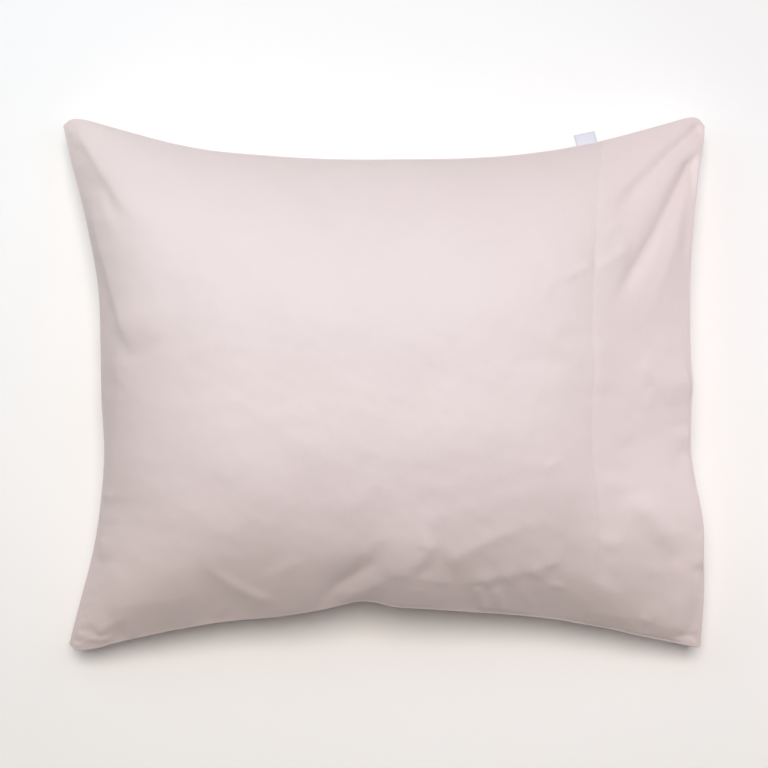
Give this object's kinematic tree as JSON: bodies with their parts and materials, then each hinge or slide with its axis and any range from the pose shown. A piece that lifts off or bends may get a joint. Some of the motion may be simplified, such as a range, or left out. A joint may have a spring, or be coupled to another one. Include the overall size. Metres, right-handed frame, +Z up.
{
  "type": "pillowcase",
  "caption": "Filled rectangular cotton pillowcase lying on its back, with drawn-in seams, pointed corners, a hemmed open end and a small folded tape label in a side seam.",
  "frame": {"origin": "on the surface that the pillowcase lies on, under the middle of its outline", "axes": "+X along the long side from the closed end to the open hemmed end, +Y towards the side seam that holds the label, +Z up out of the front face"},
  "size_m": [0.5966, 0.498, 0.1674],
  "materials": {
    "cotton_sateen": "pale dusty pink cotton sateen, fine weave with a low soft sheen",
    "woven_tape": "off-white woven tape, matte, left bare"
  },
  "bodies": {
    "root": {"case": "cotton_sateen", "label": "woven_tape"}
  },
  "joints": []
}
